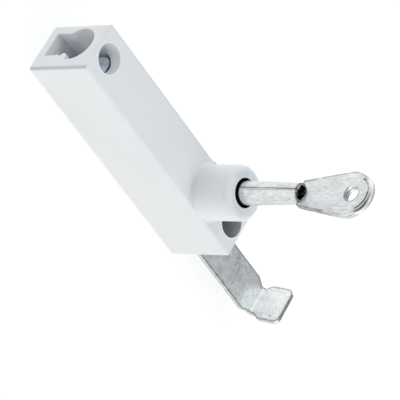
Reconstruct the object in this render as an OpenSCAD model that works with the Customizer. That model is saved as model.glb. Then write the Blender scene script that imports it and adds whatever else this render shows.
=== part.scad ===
// Keyed casement window fastener.
// A casting is screwed to the window frame, and a key winds a hooked steel strip out of its end.
// The origin is the centre of the mounting face. +X points to the hook, +Z away from the frame.

/* [Casting] */
// Length of the casting
body_l = 78; // [74:1:110]
// Width of the casting
body_w = 16; // [16:0.5:22]
// Height of the casting above the window frame
body_h = 21; // [20:0.5:27]
// Radius of the casting's outer edges
edge_r = 0.9; // [0.4:0.1:1.4]
// Thickness of the wall against the window frame
back_wall = 2.6; // [2:0.1:3.4]
// Thickness of the wall between the slider bore and the front face
front_wall = 3.25; // [2.4:0.05:4]
// Thickness of the wall at the hook end
end_wall = 2.5; // [1.8:0.1:4]

/* [Slider and bore] */
// Diameter of the long bore that the slider runs in
bore_d = 11.3; // [11:0.1:13.6]
// Distance of the bore from the middle of the casting, across it
bore_y = 0.8; // [0.4:0.1:1]
// Chamfer on the slider's inner end
slider_chamfer = 1.1; // [0.5:0.1:1.5]
// Width of the channel below the bore
channel_w = 8.1; // [7.6:0.1:9]
// Radius of the rib's rounded tip
rib_r = 1.05; // [0.8:0.05:1.2]
// Distance of the rib's tip centre from the middle of the bore
rib_reach = 4.4; // [4.1:0.1:4.8]
// Gap between the rib and the hook strip below it
rib_lift = 0.7; // [0.5:0.05:1.2]
// Length of the rib from the open end
rib_l = 40; // [20:1:42]

/* [Lock barrel] */
// Distance of the barrel's axis from the hook end
barrel_inset = 18.2; // [17.5:0.1:24]
// Height of the barrel above the front face
barrel_l = 13; // [11:0.5:18]
// Step between the barrel and the casting's side faces
barrel_step = 0.1; // [0.05:0.05:0.5]
// Radius of the barrel's rounded rim
rim_r = 1.9; // [0.5:0.1:2.5]
// Radius of the fillet at the barrel's foot
foot_r = 0.9; // [0.3:0.1:1.2]
// Diameter of the hole that takes the key and the spindle
key_hole_d = 8.4; // [8.1:0.1:9]

/* [Fixing holes] */
// Distance of each fixing screw from its end of the casting
screw_inset = 5.4; // [5:0.1:7]
// Diameter of the access hole for the screw's head
access_d = 8.5; // [8:0.1:9]
// Diameter of the screw hole in the back wall
screw_hole_d = 4.4; // [4:0.1:5]

/* [Hook strip] */
// Width of the strip
strip_w = 12; // [11:0.5:12.5]
// Thickness of the strip
strip_t = 1.25; // [1:0.05:1.6]
// Height of the strip's underside above the window frame
strip_z = 6.75; // [6:0.05:7]
// Reach of the hook's inner face beyond the casting
hook_reach = 29.8; // [20:0.1:45]
// Length of the tab beyond its bend
tab_l = 9.1; // [6:0.1:13]
// Angle of the tab to the strip
tab_angle = 77; // [60:1:90]
// Inner radius of the bend
bend_r = 0.8; // [0.5:0.1:1.5]
// Width of the strip at the bend
neck_w = 9.3; // [8:0.1:10]
// Length over which the strip narrows to the bend
neck_l = 2.9; // [2:0.1:5]
// Radius of the corners at the tab's tip
tab_corner_r = 1.9; // [1:0.1:3]
// Radius of the tab's shoulders beside the bend
tab_shoulder_r = 2.6; // [1:0.1:3]
// Distance from the barrel's axis to the end of the tail
tail_l = 35; // [32:0.5:38]
// Distance from the barrel's axis to the strip's shoulders
shoulder_x = 3.2; // [2:0.1:6]

/* [Pinion and rack] */
// Module of the teeth
tooth_module = 0.75; // [0.7:0.01:0.78]
// Number of teeth on the pinion
tooth_count = 8; // [8:1:8]
// Turn of the key in degrees
key_turn = 180; // [90:15:180]
// Pressure angle of the teeth
pressure_angle = 25; // [23:1:26]
// Play between meshing teeth at the pitch line
backlash = 0.16; // [0.12:0.01:0.2]
// Height of the pinion
pinion_h = 4.2; // [3:0.1:4.6]

/* [Spindle] */
// Depth of the spindle's shoulder below the barrel's mouth
key_depth = 10; // [8:0.5:11]
// Height of the post that the key fits over
post_l = 7; // [5:0.5:9]
// Diameter of the cross pin and the retaining pin
pin_d = 1.5; // [1.2:0.1:1.6]
// Length of the cross pin
cross_pin_l = 6.6; // [6:0.1:6.8]
// Thickness of the friction ring
ring_t = 1; // [0.8:0.1:1.2]

/* [Key] */
// Outer diameter of the key's tube in the barrel
tube_d = 6.9; // [6.8:0.1:7.3]
// Outer diameter of the key's tube where it meets the bow
tube_tip_d = 5.9; // [5.6:0.1:6.4]
// Thickness of the key's sheet steel
key_sheet = 0.95; // [0.8:0.05:1]
// Length of the key's tube
tube_l = 30.1; // [24:0.1:36]
// Width of the seam along the tube
seam_w = 0.15; // [0.1:0.05:0.5]
// Radius of the bow's round end
bow_r = 6.6; // [5.5:0.1:9]
// Distance from the tube's end to the centre of the bow's round end
bow_l = 16.2; // [14:0.1:24]
// Taper of each side of the bow in degrees
bow_taper = 10; // [6:1:10]
// Angle of the bow about the key's axis
bow_turn = 13; // [0:1:45]
// Gap between the two layers of the bow
layer_gap = 0.2; // [0.15:0.05:0.4]
// Diameter of the key-ring hole
ring_hole_d = 4.5; // [3.5:0.1:6]

/* [Hidden] */
$fn = 96;

// Clearances
slide_gap = 0.15;      // slider to bore, all round
strip_gap = 0.2;       // strip to its slot, each side
journal_gap = 0.05;    // spindle to barrel, on the radius
seat_gap = 0.1;        // key to the spindle's shoulder and post
stop_gap = 0.3;        // slider to end wall when fully out
press_gap = 0.01;      // pins in their holes, on the radius
cut = 1;               // how far a cutter runs past the face it opens
lap = 0.5;             // how far shapes of one piece run into each other
skin = 0.1;            // how far a covered face lies inside the face over it

// Casting
end_x = body_l / 2;
barrel_x = end_x - barrel_inset;
barrel_r = body_w / 2 - barrel_step;
mouth_z = body_h + barrel_l;
bore_z = body_h - front_wall - bore_d / 2;
inner_end_x = end_x - end_wall;
screw_x = end_x - screw_inset;
strip_top = strip_z + strip_t;
rib_z = strip_top + rib_lift + rib_r;

// Pinion and rack
pitch_r = tooth_module * tooth_count / 2;
base_r = pitch_r * cos(pressure_angle);
tip_r = pitch_r + 0.8 * tooth_module;
root_r = pitch_r - 0.96 * tooth_module;
rack_tip = 0.66 * tooth_module;
rack_root = 0.98 * tooth_module;
tooth_pitch = PI * tooth_module;
travel = pitch_r * key_turn * PI / 180;
rack_floor = 1.45;     // depth of the slider's cut for the pinion, below the bore's axis
slot_floor_z = bore_z - rack_floor;
pinion_z = slot_floor_z + stop_gap;
spindle_neck = 1.1;    // plain length between the pinion and the spindle's journal
journal_z = pinion_z + pinion_h + spindle_neck;
trim_z = journal_z - strip_gap;
slot_play = 0.3;       // pinion to the plain walls of its slot

// Slider
slider_r = bore_d / 2 - slide_gap;
slider_x0 = -screw_x + access_d / 2 + slide_gap;
slider_x1 = inner_end_x - travel - stop_gap;

// Spindle
journal_r = key_hole_d / 2 - journal_gap;
shoulder_z = mouth_z - key_depth;
ring_z = shoulder_z - 1.8;
ring_groove_r = key_hole_d / 2 - journal_gap - ring_t;
pin_z = body_h - 1.7;
pin_groove_r = 3.3;
pin_x = barrel_x + pin_groove_r + pin_d / 2 + journal_gap;
cross_pin_z = shoulder_z + 1.4;
post_r = tube_d / 2 - key_sheet - seat_gap;
post_chamfer = 0.6;
pin_sink = 0.2;        // retaining pin below the casting's side
pin_reach = 3;         // retaining pin past the barrel's axis

// Strip
tail_w = channel_w - 2 * slide_gap;
bend_x = end_x + hook_reach - bend_r * tan(tab_angle / 2);
shoulder_at = barrel_x + shoulder_x;
shoulder_gap = 0.4;    // straight neck between the bend and the tab's shoulders
strip_hole_d = access_d + 0.3;
strip_screw_d = 2.9;
strip_screw_at = [barrel_x - 31.6, barrel_x - 16];
strip_head_d = 5.4;
strip_head_h = 1.5;
strip_screw_l = 5.4;
driver_slot_w = 0.7;
driver_slot_h = 0.75;
driver_hole_d = 6.2;

// Key
key_z = shoulder_z + seat_gap;
// Heights in the key are measured from its own end, so it comes out the same in any casting
tube_end_z = tube_l;
bow_z = tube_end_z + bow_l;
bow_foot_z = tube_end_z - 0.4;
flat_start_z = tube_end_z - 2.4; // where the tube starts to flatten into the bow
bow_front = -0.4;      // front of the bow, from the key's axis
bow_mid = bow_front + key_sheet;
bow_back = bow_mid + layer_gap + key_sheet;
taper_z = mouth_z + 2 - key_z; // where the tube starts to narrow
throat_z = tube_end_z + 2.7;
key_hole_z = bow_z + 1;
window_r = 2.0;        // opening in the front layer's foot, beside the tube's end
void_top_z = bow_foot_z + 0.2;
lip_r = 1.2;           // inner radius of the tube's end, which is rolled in
lip_l = 2;             // length of the tube that is rolled in
fold_angle = 140;      // part of the bow's round end that is folded
fold_shift = 1.4;      // how far the fold's centre lies beyond the round end's
crease_w = 0.3;        // groove between the front layer and the fold
crease_in = 0.3;       // distance of that groove inside the fold's centre line
crease_angle = fold_angle - 16;
fold_flat = 1.2;       // flat part of the fold inside its centre line
fold_proud = 0.05;     // how far the fold swells past the layers' faces
// Back of the throat, as a distance behind the key's axis at height z
function throat_n(z) =
    bow_back - skin + (throat_z - z) * (tube_tip_d / 2 - bow_back + skin) / (throat_z - flat_start_z);

// Rectangle with rounded corners, centred
module round_rect(a, b, r) {
    square([a - 2 * r, b], center = true);
    square([a, b - 2 * r], center = true);
    for (sx = [-1, 1], sy = [-1, 1])
        translate([sx * (a / 2 - r), sy * (b / 2 - r)]) circle(r);
}

// Extrudes an outline drawn in Y and Z along X
module along_x(l) {
    rotate([90, 0, 90]) linear_extrude(l) children();
}

// Block on the mounting face, with every edge but the lowest rounded
module outer_block() {
    intersection() {
        translate([-end_x, 0, 0]) along_x(body_l) round_rect(body_w, 2 * body_h, edge_r);
        translate([0, body_w / 2, 0]) rotate([90, 0, 0]) linear_extrude(body_w)
            round_rect(body_l, 2 * body_h, edge_r);
        linear_extrude(body_h) round_rect(body_l, body_w, edge_r);
    }
}

// Lock barrel with its rounded rim, and the fillet at its foot
module barrel() {
    foot_z = body_h - edge_r - lap;
    h = mouth_z - foot_z;
    translate([barrel_x, 0, foot_z]) rotate_extrude() {
        square([barrel_r - rim_r, h]);
        square([barrel_r, h - rim_r]);
        translate([barrel_r - rim_r, h - rim_r]) circle(rim_r);
    }
    intersection() {
        translate([barrel_x, 0, body_h]) rotate_extrude() difference() {
            translate([barrel_r - foot_r, -foot_r]) square([2 * foot_r, 2 * foot_r]);
            translate([barrel_r + foot_r, foot_r]) circle(foot_r);
        }
        translate([0, 0, body_h]) cube([body_l, body_w, 4 * foot_r], center = true);
    }
}

// Outline of the rib on the bore's -Y side, drawn in Y and Z, with a tip of radius r
module rib(r) {
    translate([bore_y - rib_reach, rib_z]) circle(r);
    translate([bore_y - rib_reach - 3, rib_z - r]) square([3, 2 * r]);
}

// Round bore with the channel below it, less the rib that stops the slider from turning
module cavity() {
    difference() {
        union() {
            translate([-end_x - cut, bore_y, bore_z]) rotate([0, 90, 0])
                cylinder(h = inner_end_x + end_x + cut, d = bore_d);
            translate([-end_x - cut, bore_y - channel_w / 2, back_wall])
                cube([inner_end_x + end_x + cut, channel_w, bore_z - back_wall]);
        }
        translate([-end_x - cut, 0, 0]) along_x(rib_l + cut) rib(rib_r);
    }
}

// Slot that the wide part of the strip runs in, out through the hook end
module strip_slot() {
    x0 = shoulder_at - strip_gap;
    translate([x0, -strip_w / 2 - strip_gap, strip_z - strip_gap])
        cube([end_x + cut - x0, strip_w + 2 * strip_gap, strip_t + 2 * strip_gap]);
}

// Access hole and clearance hole for one fixing screw
module fixing_hole() {
    translate([0, 0, back_wall]) cylinder(h = body_h, d = access_d);
    translate([0, 0, -cut]) cylinder(h = body_h, d = screw_hole_d);
}

module housing() {
    color("white") difference() {
        union() {
            outer_block();
            barrel();
        }
        cavity();
        strip_slot();
        for (s = [-1, 1]) translate([s * screw_x, 0, 0]) fixing_hole();
        translate([barrel_x, 0, bore_z]) cylinder(h = mouth_z, d = key_hole_d);
        for (x = strip_screw_at) translate([x, bore_y, -cut])
            cylinder(h = back_wall + 2 * cut, d = driver_hole_d);
        translate([pin_x, body_w / 2 + cut, pin_z]) rotate([90, 0, 0])
            cylinder(h = body_w / 2 + cut + pin_reach + lap, d = pin_d + 2 * press_gap);
    }
}

// Flat part of the strip: tail, shoulders, and the sides that narrow to the bend
module strip_outline() {
    tail_x = barrel_x - tail_l;
    translate([tail_x, bore_y - tail_w / 2]) square([shoulder_at - tail_x + lap, tail_w]);
    polygon([
        [shoulder_at, -strip_w / 2], [bend_x - neck_l, -strip_w / 2], [bend_x, -neck_w / 2],
        [bend_x, neck_w / 2], [bend_x - neck_l, strip_w / 2], [shoulder_at, strip_w / 2]
    ]);
}

// Flat part of the tab, from its bend to its tip
module tab_outline() {
    wide_l = tab_l - shoulder_gap;
    tip_l = 0.6 * wide_l;
    translate([0, -neck_w / 2]) square([2 * tab_shoulder_r, neck_w]);
    translate([tab_l - wide_l / 2, 0]) round_rect(wide_l, strip_w, tab_shoulder_r);
    translate([tab_l - tip_l / 2, 0]) round_rect(tip_l, strip_w, tab_corner_r);
}

module hook_strip() {
    color("silver") {
        difference() {
            translate([0, 0, strip_z]) linear_extrude(strip_t) strip_outline();
            translate([screw_x, 0, 0]) cylinder(h = body_h, d = strip_hole_d);
            for (x = strip_screw_at) translate([x, bore_y, 0])
                cylinder(h = body_h, d = strip_screw_d + 2 * press_gap);
        }
        translate([bend_x, 0, strip_top + bend_r]) rotate([90, 0, 0]) rotate([0, 0, -90])
            rotate_extrude(angle = tab_angle)
                translate([bend_r, -neck_w / 2]) square([strip_t, neck_w]);
        translate([bend_x, 0, strip_top + bend_r]) rotate([0, -tab_angle, 0])
            translate([0, 0, -bend_r - strip_t]) linear_extrude(strip_t) tab_outline();
    }
}

// Cut in the slider for the pinion: the rack's teeth on its +Y side, and open towards -Y
module pinion_slot() {
    tooth = (tooth_pitch - backlash) / 2;
    tip_w = tooth - 2 * rack_tip * tan(pressure_angle);
    root_w = tooth + 2 * rack_root * tan(pressure_angle);
    y_tip = pitch_r - rack_tip;
    y_root = pitch_r + rack_root;
    y_open = bore_y - slider_r - cut;
    x0 = barrel_x - travel - tip_r - slot_play;
    x1 = barrel_x + tip_r + slot_play;
    k0 = -floor((travel + tip_r - root_w / 2) / tooth_pitch);
    polygon(concat(
        [[x0, y_root]],
        [for (k = [k0 : 1], c = [[-root_w, y_root], [-tip_w, y_tip], [tip_w, y_tip], [root_w, y_root]])
            [barrel_x + k * tooth_pitch + c[0] / 2, c[1]]],
        [[x1, y_root], [x1, y_open], [x0, y_open]]
    ));
}

// Round bar along X with its inner end chamfered
module slider_bar() {
    translate([slider_x0, bore_y, bore_z]) rotate([0, 90, 0]) rotate_extrude() polygon([
        [0, 0], [slider_r - slider_chamfer, 0], [slider_r, slider_chamfer],
        [slider_r, slider_x1 - slider_x0], [0, slider_x1 - slider_x0]
    ]);
}

module rack_slider() {
    keel_x0 = slider_x0 + slider_chamfer;
    run = journal_r + slot_play;
    color("lightsteelblue") difference() {
        union() {
            intersection() {
                slider_bar();
                translate([slider_x0 - cut, -body_w / 2, strip_top])
                    cube([slider_x1 - slider_x0 + 2 * cut, body_w, body_h]);
            }
            translate([keel_x0, bore_y - tail_w / 2, strip_top])
                cube([slider_x1 - keel_x0, tail_w, bore_z - strip_top]);
        }
        translate([0, 0, slot_floor_z]) linear_extrude(body_h) pinion_slot();
        translate([barrel_x - travel - run, -body_w / 2, trim_z])
            cube([travel + 2 * run, body_w, body_h]);
        translate([slider_x0 - cut, 0, 0]) along_x(rib_l - end_x + stop_gap - slider_x0 + cut)
            rib(rib_r + slide_gap);
        for (x = strip_screw_at) translate([x, bore_y, 0])
            cylinder(h = strip_z + strip_screw_l + stop_gap, d = strip_screw_d + 2 * press_gap);
    }
}

module strip_screws() {
    color("gray") for (x = strip_screw_at) translate([x, bore_y, strip_z - strip_head_h]) difference() {
        union() {
            cylinder(h = strip_head_h, d = strip_head_d);
            cylinder(h = strip_head_h + strip_screw_l, d = strip_screw_d);
        }
        translate([-driver_slot_w / 2, -strip_head_d, -cut])
            cube([driver_slot_w, 2 * strip_head_d, driver_slot_h + cut]);
    }
}

// Radius vector angle from a tooth's centre line to its flank at radius r
function involute(a) = tan(a) * 180 / PI - a;
function flank_angle(r) =
    90 / tooth_count - backlash / 4 / pitch_r * 180 / PI + involute(pressure_angle)
    - (r > base_r ? involute(acos(base_r / r)) : 0);
flank_steps = 5;
flank_radii = concat([root_r],
    [for (i = [0 : flank_steps]) base_r + (tip_r - base_r) * i / flank_steps]);
function tooth_side(centre, s) = [
    for (i = [0 : flank_steps + 1])
        let (k = s < 0 ? i : flank_steps + 1 - i, r = flank_radii[k], a = centre + s * flank_angle(r))
        [r * cos(a), r * sin(a)]
];

// Pinion with a tooth space towards +Y
module pinion() {
    linear_extrude(pinion_h) polygon([
        for (i = [0 : tooth_count - 1])
            let (c = 90 + (i + 0.5) * 360 / tooth_count)
            each concat(tooth_side(c, -1), tooth_side(c, 1))
    ]);
}

module drive_spindle() {
    color("darkgray") translate([barrel_x, 0, 0]) difference() {
        union() {
            translate([0, 0, pinion_z]) pinion();
            rotate_extrude() polygon([
                [0, pinion_z], [root_r - skin, pinion_z], [root_r - skin, journal_z],
                [journal_r, journal_z],
                [journal_r, pin_z - pin_d / 2 - journal_gap], [pin_groove_r, pin_z - pin_d / 2 - journal_gap],
                [pin_groove_r, pin_z + pin_d / 2 + journal_gap], [journal_r, pin_z + pin_d / 2 + journal_gap],
                [journal_r, ring_z - ring_t / 2 - journal_gap],
                [ring_groove_r, ring_z - ring_t / 2 - journal_gap],
                [ring_groove_r, ring_z + ring_t / 2 + journal_gap],
                [journal_r, ring_z + ring_t / 2 + journal_gap],
                [journal_r, shoulder_z], [post_r, shoulder_z],
                [post_r, shoulder_z + post_l - post_chamfer], [post_r - post_chamfer, shoulder_z + post_l],
                [0, shoulder_z + post_l]
            ]);
        }
        translate([0, 0, cross_pin_z]) rotate([90, 0, 0])
            cylinder(h = 2 * journal_r, d = pin_d + 2 * press_gap, center = true);
    }
}

module drive_pin() {
    color("silver") translate([barrel_x, 0, cross_pin_z]) rotate([90, 0, 0])
        cylinder(h = cross_pin_l, d = pin_d, center = true);
}

module friction_ring() {
    color("dimgray") translate([barrel_x, 0, ring_z]) rotate_extrude()
        translate([ring_groove_r + ring_t / 2, 0]) circle(d = ring_t);
}

module retaining_pin() {
    color("silver") translate([pin_x, body_w / 2 - pin_sink, pin_z]) rotate([90, 0, 0])
        cylinder(h = body_w / 2 - pin_sink + pin_reach, d = pin_d);
}

// Outline of the bow, drawn in Y and Z, from height z0 up
module bow_outline(z0) {
    side_z = bow_z - bow_r * sin(bow_taper);
    side_w = bow_r * cos(bow_taper);
    foot_w = side_w - (side_z - z0) * tan(bow_taper);
    translate([0, bow_z]) circle(bow_r);
    polygon([[-foot_w, z0], [foot_w, z0], [side_w, side_z], [-side_w, side_z]]);
}

// Extrudes an outline drawn in X and Z across the key
module across_key() {
    translate([0, tube_d, 0]) rotate([90, 0, 0]) linear_extrude(2 * tube_d) children();
}

// Outside of the tube, cut away in front above its end and flattened behind into the bow
module key_stem() {
    difference() {
        rotate_extrude() polygon([
            [0, 0], [tube_d / 2, 0], [tube_d / 2, taper_z], [tube_tip_d / 2, tube_end_z],
            [tube_tip_d / 2, throat_z], [0, throat_z]
        ]);
        across_key() polygon([
            [-tube_d, tube_end_z], [bow_mid + layer_gap + skin, tube_end_z],
            [bow_mid + layer_gap + skin, throat_z + cut], [-tube_d, throat_z + cut]
        ]);
        across_key() polygon([
            [throat_n(tube_end_z - 4), tube_end_z - 4], [tube_d, tube_end_z - 4],
            [tube_d, throat_z + cut], [throat_n(throat_z + cut), throat_z + cut]
        ]);
    }
}

// Inside of the tube, running up behind the bow's front layer
module key_void() {
    intersection() {
        rotate_extrude() polygon([
            [0, -cut], [tube_d / 2 - key_sheet, -cut], [tube_d / 2 - key_sheet, taper_z],
            [tube_tip_d / 2 - key_sheet, tube_end_z - lip_l], [lip_r, tube_end_z],
            [lip_r, throat_z + cut], [0, throat_z + cut]
        ]);
        across_key() polygon([
            [-tube_d, -2 * cut], [tube_d, -2 * cut], [tube_d, tube_end_z - 6],
            [throat_n(tube_end_z - 6) - key_sheet, tube_end_z - 6],
            [throat_n(throat_z) - key_sheet, throat_z],
            [throat_n(throat_z) - key_sheet, void_top_z], [-tube_d, void_top_z]
        ]);
    }
}

// Sweeps an outline, drawn in radius and depth, round the bow's far end through an angle
module around_fold(angle) {
    translate([bow_front, 0, bow_z + fold_shift]) rotate([0, 90, 0]) rotate([0, 0, 180 - angle / 2])
        rotate_extrude(angle = angle) children();
}

// Far end of the bow, where the front layer folds over from the back one
module key_fold() {
    t = bow_back - bow_front + 2 * fold_proud;
    r = bow_r - fold_shift;
    around_fold(fold_angle) translate([0, -fold_proud]) {
        translate([r - fold_flat, 0]) square([fold_flat, t]);
        translate([r, t / 2]) circle(d = t);
    }
}

module key() {
    color("gainsboro") translate([barrel_x, 0, key_z]) rotate([0, 0, bow_turn]) difference() {
        union() {
            key_stem();
            translate([bow_front, 0, 0]) along_x(key_sheet) bow_outline(bow_foot_z);
            translate([bow_mid + layer_gap, 0, 0]) along_x(key_sheet) bow_outline(bow_foot_z);
            key_fold();
        }
        key_void();
        translate([bow_front - cut, 0, key_hole_z]) rotate([0, 90, 0])
            cylinder(h = bow_back - bow_front + 2 * cut, d = ring_hole_d);
        translate([bow_front - cut, 0, bow_foot_z]) rotate([0, 90, 0])
            cylinder(h = key_sheet + cut + layer_gap / 2, r = window_r);
        around_fold(crease_angle) translate([bow_r - fold_shift - crease_in, -cut])
            square([crease_w, cut + crease_w]);
        translate([-tube_d, -seam_w / 2, -cut]) cube([tube_d, seam_w, tube_l + cut + lap]);
        rotate([0, 0, -bow_turn])
            translate([-pin_d / 2 - slide_gap, -tube_d, -cut])
                cube([pin_d + 2 * slide_gap, 2 * tube_d, cross_pin_z + pin_d / 2 + slide_gap - key_z + cut]);
    }
}

housing();
hook_strip();
rack_slider();
strip_screws();
drive_spindle();
drive_pin();
friction_ring();
retaining_pin();
key();
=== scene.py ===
"""Looks of a keyed casement window fastener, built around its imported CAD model."""

import bpy
from mathutils import Matrix, Vector


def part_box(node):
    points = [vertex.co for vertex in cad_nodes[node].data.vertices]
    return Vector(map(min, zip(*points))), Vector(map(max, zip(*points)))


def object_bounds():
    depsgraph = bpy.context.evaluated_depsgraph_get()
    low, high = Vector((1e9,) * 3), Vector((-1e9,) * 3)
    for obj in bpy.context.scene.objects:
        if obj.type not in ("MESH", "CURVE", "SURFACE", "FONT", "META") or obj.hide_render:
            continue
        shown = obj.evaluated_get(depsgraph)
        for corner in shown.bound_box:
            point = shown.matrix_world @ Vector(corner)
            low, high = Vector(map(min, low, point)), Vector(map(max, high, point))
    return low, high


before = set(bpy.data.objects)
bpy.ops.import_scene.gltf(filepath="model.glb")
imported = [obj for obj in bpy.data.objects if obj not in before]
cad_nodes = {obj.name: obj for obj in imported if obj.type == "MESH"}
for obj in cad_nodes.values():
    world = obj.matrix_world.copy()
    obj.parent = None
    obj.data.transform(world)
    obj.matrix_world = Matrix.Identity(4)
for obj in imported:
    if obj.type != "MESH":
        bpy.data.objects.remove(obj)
cad_lo, cad_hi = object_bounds()
scene = bpy.context.scene


# ---------------------------------------------------------------- node helpers
class Tree:
    """A material's node tree, with short calls for the nodes used here."""

    def __init__(self, name):
        self.material = bpy.data.materials.new(name)
        self.material.use_nodes = True
        self.tree = self.material.node_tree
        self.bsdf = self.tree.nodes["Principled BSDF"]
        self.place = self.tree.nodes.new("ShaderNodeTexCoord").outputs["Object"]

    def plug(self, value, socket):
        if isinstance(value, bpy.types.NodeSocket):
            self.tree.links.new(value, socket)
        else:
            socket.default_value = value

    def add(self, kind, inputs=None, **settings):
        node = self.tree.nodes.new(kind)
        for key, value in settings.items():
            setattr(node, key, value)
        for key, value in (inputs or {}).items():
            self.plug(value, node.inputs[key])
        return node

    def link(self, socket, value):
        self.plug(value, self.bsdf.inputs[socket])

    def noise(self, scale, detail=3.0, rough=0.5, stretch=None):
        vector = self.place
        if stretch:
            vector = self.add("ShaderNodeMapping", {"Vector": vector, "Scale": stretch}).outputs["Vector"]
        inputs = {"Vector": vector, "Scale": scale, "Detail": detail, "Roughness": rough}
        return self.add("ShaderNodeTexNoise", inputs).outputs["Fac"]

    def ramp(self, fac, low, high, out_low=0.0, out_high=1.0):
        inputs = {"Value": fac, "From Min": low, "From Max": high, "To Min": out_low, "To Max": out_high}
        return self.add("ShaderNodeMapRange", inputs).outputs["Result"]

    def math(self, op, a, b=0.0):
        return self.add("ShaderNodeMath", {0: a, 1: b}, operation=op).outputs["Value"]

    def vector_math(self, op, a, b=Vector()):
        node = self.add("ShaderNodeVectorMath", {0: a, 1: b}, operation=op)
        return node.outputs["Value" if op in ("DOT_PRODUCT", "LENGTH") else "Vector"]

    def at(self, letter):
        """Place along X, Y or Z."""
        return self.add("ShaderNodeSeparateXYZ", {"Vector": self.place}).outputs[letter]

    def mix(self, fac, a, b):
        node = self.add("ShaderNodeMix", data_type="RGBA")
        for socket, value in ((0, fac), (6, a), (7, b)):
            self.plug(value, node.inputs[socket])
        return node.outputs[2]

    def specks(self, scale, share):
        """1 in scattered small spots, more of them for a larger share."""
        return self.ramp(self.noise(scale, 0), 0.72 - share, 0.76 - share)

    def scratches(self, scale, width):
        """1 along thin winding lines."""
        away = self.math("ABSOLUTE", self.math("SUBTRACT", self.noise(scale, 1, 0.4), 0.5))
        return self.ramp(away, width, 0.4 * width)

    def off_axis(self, axis, middle):
        """Distance from a line along an axis, which passes through the point middle."""
        across = Vector((1, 1, 1)) - Vector(axis)
        offset = self.vector_math("SUBTRACT", self.place, middle)
        return self.vector_math("LENGTH", self.vector_math("MULTIPLY", offset, across))

    def bump(self, height, strength, distance, normal):
        inputs = {"Height": height, "Strength": strength, "Distance": distance, "Normal": normal}
        return self.add("ShaderNodeBump", inputs).outputs["Normal"]

    def rounded(self, radius):
        """Normal with the edges rounded off over radius."""
        return self.add("ShaderNodeBevel", {"Radius": radius}, samples=6).outputs["Normal"]

    def edges(self, radius):
        """1 on edges, where the rounded normal leans away from the face's own, 0 on open faces."""
        flat = self.add("ShaderNodeNewGeometry").outputs["Normal"]
        return self.ramp(self.vector_math("DOT_PRODUCT", self.rounded(radius), flat), 0.995, 0.8)


def rgb(r, g, b):
    """Opaque linear colour."""
    return (r, g, b, 1.0)


# ------------------------------------------------------------------- materials
# Sizes of the CAD model that its frame doesn't give
BODY_H = 0.021  # height of the casting without its barrel
EDGE_R = 0.0009  # rounding of its long edges
BARREL_IN = 0.0182  # barrel's axis from the casting's hook end
LOCK_R = 0.0042  # radius of the hole that the key and the spindle stand in
ACCESS_IN = 0.0054  # axis of the access hole beside the hook, from the same end
ACCESS_R = 0.00425  # radius of that hole
SLIDER_CHAMFER = 0.0011  # chamfer at the slider's end

# Where colours change on the casting
COAT_DEPTH = 0.0018  # the white coat colour is whole this far in from the casting's outer faces
COAT_FADE = 0.003  # and it fades to a darker blue-grey over this further depth
BACK_DEPTHS = 4  # depth from the mounting face counts this many times, as that wall is thin
DARK_FROM, DARK_TO = 0.013, 0.006  # painted shade: the inner grey darkens here, from the hook end
HOLE_EDGE = 0.00005  # how far a hole's colour runs past its wall
ACCESS_SHADE_W = 0.005  # painted shade in the access hole fades across this width
ACCESS_SHADE_BACK = 0.0005  # and it stays this far off the mounting face
LOCK_SHADE_D = 0.003  # painted shade in the lock's hole fades downwards over this depth


def inside(t, depth, fade):
    """1 on faces deeper than depth inside the casting's outer box, 0 nearer to its faces."""
    lo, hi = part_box("housing")
    deep = t.math("SUBTRACT", lo[2] + BODY_H, t.at("Z"))
    back = t.math("MULTIPLY", t.math("SUBTRACT", t.at("Z"), lo[2]), BACK_DEPTHS)
    deep = t.math("MINIMUM", deep, back)
    for letter, low, high in (("X", lo[0], hi[0]), ("Y", lo[1], hi[1])):
        deep = t.math("MINIMUM", deep, t.math("SUBTRACT", t.at(letter), low))
        deep = t.math("MINIMUM", deep, t.math("SUBTRACT", high, t.at(letter)))
    return t.ramp(deep, depth, depth + fade)


def in_hole(t, x, radius):
    """1 in a round hole along Z, whose axis stands at x, 0 outside it."""
    return t.ramp(t.off_axis((0, 0, 1), Vector((x, 0, 0))), radius + HOLE_EDGE, radius)


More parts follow.
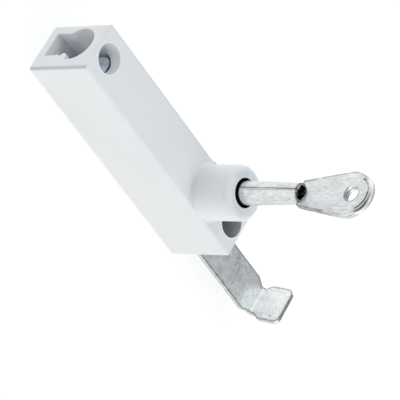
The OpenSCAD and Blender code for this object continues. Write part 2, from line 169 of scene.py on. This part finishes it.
def white_coat():
    """Satin white powder coat, with a painted highlight on sharp edges and painted shade along two long
    edges, darker blue-grey deeper inside, and painted shade towards the hook end, in the access hole and in
    the lock's hole.
    """
    t = Tree("white_coat")
    lo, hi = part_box("housing")
    top = lo[2] + BODY_H
    base = t.mix(t.ramp(t.noise(60, 3, 0.55), 0.3, 0.7), rgb(0.805, 0.825, 0.84), rgb(0.835, 0.85, 0.86))
    # painted highlight: sharp edges are lightened to near white
    shell = t.mix(t.edges(0.001), base, rgb(0.98, 0.98, 0.98))
    # painted shade: a darker band along the edge between the open end and one side, and along the edge
    # between the other side and the front face
    for axis, corner in (((0, 0, 1), (lo[0], lo[1], 0)), ((1, 0, 0), (0, hi[1], top))):
        painted_edge_band = t.ramp(t.off_axis(axis, Vector(corner)), EDGE_R, 0.45 * EDGE_R)
        shell = t.mix(painted_edge_band, shell, rgb(0.6, 0.62, 0.64))

    # darker blue-grey deeper inside the casting
    inner_grey = t.mix(t.ramp(t.noise(700, 4, 0.6), 0.35, 0.65), rgb(0.48, 0.52, 0.58), rgb(0.68, 0.71, 0.76))
    # painted shade: the inner grey goes dark towards the hook end
    inner_grey = t.mix(t.ramp(t.at("X"), hi[0] - DARK_FROM, hi[0] - DARK_TO), inner_grey, rgb(0.16, 0.18, 0.21))
    shell = t.mix(inside(t, COAT_DEPTH, COAT_FADE), shell, inner_grey)

    access_x = hi[0] - ACCESS_IN
    # painted shade: near black in the access hole, darkest towards smaller X and Y, kept off the mounting
    # face
    access_shade = t.ramp(t.math("ADD", t.at("X"), t.at("Y")), access_x, access_x + ACCESS_SHADE_W, 0.9, 0.15)
    off_back = t.ramp(t.at("Z"), lo[2] + ACCESS_SHADE_BACK, lo[2] + 2 * ACCESS_SHADE_BACK)
    access = t.math("MULTIPLY", in_hole(t, access_x, ACCESS_R), off_back)
    shell = t.mix(t.math("MULTIPLY", access, access_shade), shell, rgb(0.02, 0.035, 0.05))

    # painted shade: near black in the lock's hole, fading out downwards below the front face
    lock_shade = t.math("MULTIPLY", in_hole(t, hi[0] - BARREL_IN, LOCK_R), t.ramp(t.at("Z"), top - LOCK_SHADE_D, top))
    t.link("Base Color", t.mix(lock_shade, shell, rgb(0.01, 0.01, 0.012)))
    t.link("Roughness", t.ramp(t.noise(300, 3), 0.3, 0.7, 0.34, 0.46))
    peel = t.bump(t.noise(900, 2), 0.12, 0.0003, t.rounded(0.0003))
    t.link("Normal", t.bump(t.noise(4500, 2), 0.1, 0.00005, peel))
    return t.material


def metal(t, base, rough, along, grain, edge_r, dark):
    """Finishes a metal: painted shade on its edges, fine draw lines along one axis, a slightly uneven face.
    """
    clouds = t.noise(320, 4, 0.6)
    lines = t.noise(1.0, 3, 0.7, along)
    # painted shade: the base colour goes near black where dark is set
    t.link("Base Color", t.mix(dark, base, rgb(0.03, 0.032, 0.035)))
    t.link("Metallic", 1.0)
    t.link("Roughness", t.ramp(t.math("ADD", clouds, lines), 0.75, 1.25, rough - 0.06, rough + 0.08))
    marks = t.bump(lines, 0.25 * grain, 0.00004, t.rounded(edge_r))
    t.link("Normal", t.bump(clouds, 0.35 * grain, 0.0003, marks))
    return t.material


def mottled(t, low, high, fine, contrast, stretch=(1, 1, 1)):
    """Cloudy plating between two colours, with a share of it fine."""
    clouds = t.math("MULTIPLY", t.noise(320, 4, 0.6, stretch), 1 - fine)
    tone = t.math("ADD", clouds, t.math("MULTIPLY", t.noise(1500, 3, 0.6, stretch), fine))
    return t.mix(t.ramp(tone, 0.5 - 0.5 * contrast, 0.5 + 0.5 * contrast), low, high)


def strip_plate():
    """Bright zinc plate that has been handled: uneven tone, winding scratches, dark and light specks."""
    t = Tree("zinc_plate")
    base = mottled(t, rgb(0.68, 0.695, 0.69), rgb(0.94, 0.95, 0.94), 0.45, 0.34)
    base = t.mix(t.math("MULTIPLY", t.scratches(120, 0.012), 0.3), base, rgb(0.2, 0.22, 0.25))
    base = t.mix(t.math("MULTIPLY", t.specks(830, -0.06), 0.6), base, rgb(0.12, 0.13, 0.14))
    base = t.mix(t.specks(950, -0.01), base, rgb(1, 1, 1))
    # painted shade on the strip's edges, passed to metal as dark
    return metal(t, base, 0.28, (40, 1500, 1500), 1.0, 0.0003, t.math("MULTIPLY", t.edges(0.0012), 0.9))


def key_plate():
    """Bright nickel plate on pressed sheet: even tone, painted shade in broken dark lines along its edges."""
    t = Tree("key_plate")
    base = mottled(t, rgb(0.55, 0.565, 0.57), rgb(0.85, 0.86, 0.86), 0.6, 0.34, (1, 1, 0.4))
    # painted shade along the edges, broken up by noise
    broken = t.ramp(t.noise(260, 2, 0.6), 0.34, 0.54)
    return metal(t, base, 0.17, (2000, 2000, 60), 0.5, 0.0003, t.math("MULTIPLY", t.edges(0.001), broken))


def slider_metal():
    """Blue-grey cast slider, with painted shade in black on the chamfer and round side at its end."""
    t = Tree("slider_metal")
    lo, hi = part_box("rack_slider")
    radius = 0.5 * (hi[1] - lo[1])
    from_axis = t.off_axis((1, 0, 0), Vector((0, 0.5 * (lo[1] + hi[1]), hi[2] - radius)))
    base = mottled(t, rgb(0.6, 0.68, 0.77), rgb(0.84, 0.92, 1.0), 0.5, 0.25)
    # painted shade: near black on the chamfer and the round side beyond it
    chamfer = t.ramp(from_axis, radius - SLIDER_CHAMFER, radius - 0.9 * SLIDER_CHAMFER)
    return metal(t, base, 0.4, (300, 300, 300), 1.0, 0.0003, t.math("MULTIPLY", chamfer, 0.97))


def plain_steel(name, low, high, along):
    """Machined steel of the small parts."""
    t = Tree(name)
    base = mottled(t, rgb(low, low, 1.02 * low), rgb(high, high, high), 0.6, 0.24)
    # painted shade on the edges, passed to metal as dark
    return metal(t, base, 0.35, along, 1.0, 0.0003, t.math("MULTIPLY", t.edges(0.0003), 0.8))


def black_rubber():
    """Matt rubber of the friction ring."""
    t = Tree("ring_rubber")
    t.link("Base Color", t.mix(t.noise(900, 3), rgb(0.012, 0.012, 0.012), rgb(0.03, 0.03, 0.03)))
    t.link("Roughness", t.ramp(t.noise(2000, 3), 0.3, 0.7, 0.6, 0.8))
    t.link("Normal", t.bump(t.noise(3000, 2), 0.2, 0.00005, t.rounded(0.0001)))
    return t.material


MATERIALS = {
    "housing": white_coat(),
    "hook_strip": strip_plate(),
    "rack_slider": slider_metal(),
    "key": key_plate(),
    "strip_screws": plain_steel("screw_steel", 0.4, 0.55, (600, 600, 600)),
    "drive_spindle": plain_steel("spindle_steel", 0.36, 0.5, (200, 200, 3000)),
    "drive_pin": plain_steel("pin_steel", 0.5, 0.62, (2000, 60, 2000)),
    "retaining_pin": plain_steel("peg_steel", 0.5, 0.62, (2000, 60, 2000)),
    "friction_ring": black_rubber(),
}
for node_name, material in MATERIALS.items():
    slots = cad_nodes[node_name].data.materials
    slots.clear()
    slots.append(material)


# ----------------------------------------------------------------------- stage
FLOOR_HALF = 3.0  # half of its side
FLOOR_GAP = 0.0003  # below the mounting face
FLOOR_GLOW = 0.6

SKY_BASE = rgb(0.1, 0.1, 0.1)
# Direction that the light comes from, how narrow it is, and its colour
SKY_GLOWS = (
    ((0, 0, 1), 4, rgb(1.1, 1.135, 1.15)),
    ((-0.656, 0.755, 0.1), 3, rgb(1.1, 1.12, 1.14)),
    ((0.656, -0.755, 0.1), 3, rgb(1.9, 1.88, 1.86)),
    ((0, 1, 0.15), 2, rgb(0.47, 0.53, 0.59)),
)

CAMERA_LENS = 245.5  # mm, on a 36 mm wide sensor
CAMERA_PLACE = Vector((-0.4135, -0.3735, 0.5210))
# Directions of the picture's right and top, and of the way back to the camera
CAMERA_RIGHT = Vector((0.4938, 0.4383, 0.7510))
CAMERA_UP = Vector((-0.6556, 0.7551, -0.0095))
CAMERA_BACK = Vector((-0.5712, -0.4876, 0.6602))


def floor():
    """A pale table under the mounting face, lit from below like a light table."""
    z = cad_lo.z - FLOOR_GAP
    corners = [(x * FLOOR_HALF, y * FLOOR_HALF, z) for x, y in ((-1, -1), (1, -1), (1, 1), (-1, 1))]
    mesh = bpy.data.meshes.new("floor")
    mesh.from_pydata(corners, [], [(0, 1, 2, 3)])
    obj = bpy.data.objects.new("floor", mesh)
    scene.collection.objects.link(obj)
    t = Tree("floor_paper")
    t.link("Base Color", rgb(0.5, 0.5, 0.5))
    t.link("Roughness", 0.9)
    t.link("Specular IOR Level", 0.1)
    t.link("Emission Color", rgb(1, 1, 1))
    t.link("Emission Strength", FLOOR_GLOW)
    mesh.materials.append(t.material)


def sky():
    """Soft studio surroundings: an even grey with broad glows from chosen sides."""
    world = bpy.data.worlds.new("studio")
    world.use_nodes = True
    tree = world.node_tree
    coord = tree.nodes.new("ShaderNodeTexCoord").outputs["Generated"]

    def vector_math(op, *values):
        node = tree.nodes.new("ShaderNodeVectorMath")
        node.operation = op
        for socket, value in zip(node.inputs, values):
            if isinstance(value, bpy.types.NodeSocket):
                tree.links.new(value, socket)
            else:
                socket.default_value = value
        return node.outputs["Value" if op == "DOT_PRODUCT" else "Vector"]

    total = None
    for direction, sharpness, colour in SKY_GLOWS:
        facing = vector_math("DOT_PRODUCT", coord, Vector(direction).normalized())
        clamp = tree.nodes.new("ShaderNodeClamp")
        tree.links.new(facing, clamp.inputs["Value"])
        power = tree.nodes.new("ShaderNodeMath")
        power.operation = "POWER"
        tree.links.new(clamp.outputs["Result"], power.inputs[0])
        power.inputs[1].default_value = sharpness
        glow = vector_math("MULTIPLY", power.outputs["Value"], colour[:3])
        total = vector_math("ADD", glow, total if total is not None else SKY_BASE[:3])
    tree.links.new(total, tree.nodes["Background"].inputs["Color"])
    scene.world = world


def camera():
    """Long lens that looks at the casting's front, from the side of its open end."""
    data = bpy.data.cameras.new("camera")
    data.lens = CAMERA_LENS
    data.sensor_width = 36.0
    data.clip_start, data.clip_end = 0.05, 20
    obj = bpy.data.objects.new("camera", data)
    turn = Matrix((CAMERA_RIGHT, CAMERA_UP, CAMERA_BACK)).transposed()
    obj.matrix_world = Matrix.Translation(CAMERA_PLACE) @ turn.to_4x4()
    scene.collection.objects.link(obj)
    scene.camera = obj


floor()
sky()
camera()
scene.view_settings.view_transform = "Standard"
